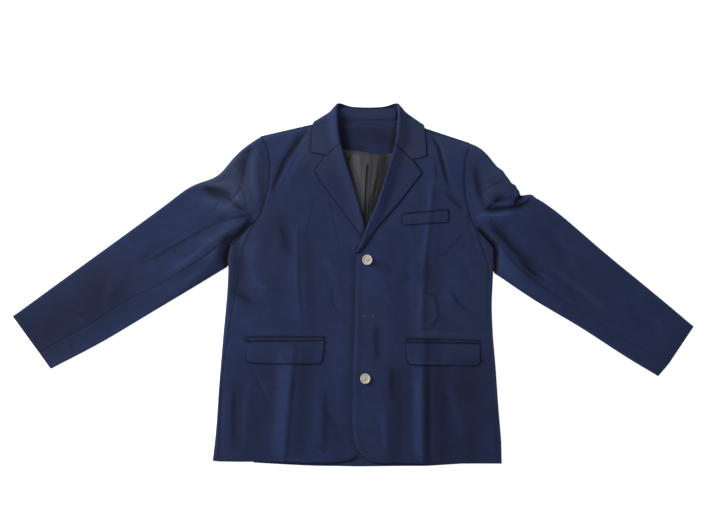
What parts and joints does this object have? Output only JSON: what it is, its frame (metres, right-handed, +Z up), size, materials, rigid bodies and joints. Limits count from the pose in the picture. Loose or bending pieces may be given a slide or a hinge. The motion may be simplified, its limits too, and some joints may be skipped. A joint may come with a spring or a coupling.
{
  "type": "notched lapel blazer laid flat",
  "caption": "Single-breasted blazer with notched lapels, flap pockets and two-piece sleeves, laid flat face up.",
  "frame": {"origin": "centre of the garment's outline, on the surface that it lies on", "axes": "+X to the wearer's left (the picture's right), +Y from the hem to the collar, +Z up from the surface, out of the front"},
  "size_m": [1.394, 0.7439, 0.0206],
  "materials": {
    "navy_wool": "navy twill suiting, matt with a faint nap",
    "charcoal_lining": "charcoal lining cloth with a soft sheen",
    "cream_button": "cream resin, softly polished"
  },
  "bodies": {
    "root": {"back_left": "navy_wool", "back_right": "navy_wool", "side_panel_left": "navy_wool", "side_panel_right": "navy_wool", "front_right": "navy_wool", "front_left": "navy_wool", "lapel_left": "navy_wool", "lapel_right": "navy_wool", "collar": "navy_wool", "collar_stand": "navy_wool", "back_neck_facing": "navy_wool", "back_lining": "charcoal_lining", "hem_lining": "charcoal_lining", "top_sleeve_left": "navy_wool", "top_sleeve_right": "navy_wool", "under_sleeve_left": "navy_wool", "under_sleeve_right": "navy_wool", "breast_welt": "navy_wool", "flap_left": "navy_wool", "flap_right": "navy_wool", "jet_left": "navy_wool", "jet_right": "navy_wool", "button_upper": "cream_button", "button_lower": "cream_button"}
  },
  "joints": []
}
